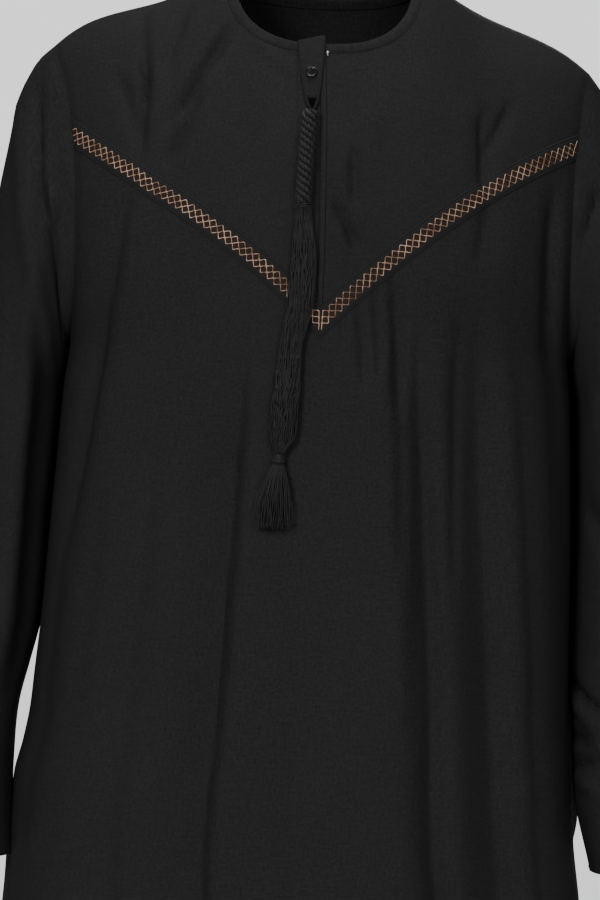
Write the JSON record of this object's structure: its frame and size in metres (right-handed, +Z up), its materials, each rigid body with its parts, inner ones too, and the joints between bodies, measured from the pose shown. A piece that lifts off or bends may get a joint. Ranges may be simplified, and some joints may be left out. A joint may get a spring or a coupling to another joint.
{
  "type": "thobe",
  "caption": "Ankle-length collarless robe, hollow as worn, long straight sleeves, chevron lattice band, buttoned neck tab and long hanging tassel.",
  "frame": {"origin": "middle of the neck opening, level with the highest points of the two shoulder seams, where the wearer's neck and shoulders hold the garment", "axes": "+Z up, -Y towards the front of the garment, +X towards the wearer's left"},
  "size_m": [0.6731, 0.3651, 1.4829],
  "materials": {
    "cloth": "black fine plain weave with a faint soft sheen",
    "band": "copper thread lattice embroidered on a black applied strip",
    "thread": "black twisted thread with a soft silky sheen",
    "button": "glossy black",
    "snap": "polished"
  },
  "bodies": {
    "root": {"front": "cloth", "back": "cloth", "sleeve_right": "cloth", "sleeve_left": "cloth", "neck_binding_front": "cloth", "neck_binding_back": "cloth", "placket": "cloth", "tassel_tab": "cloth", "chevron_band": "band", "tab_button": "button", "snap_stud": "snap", "tassel_head": "thread", "tassel_bundle": "thread", "tassel_skirt": "thread"}
  },
  "joints": []
}
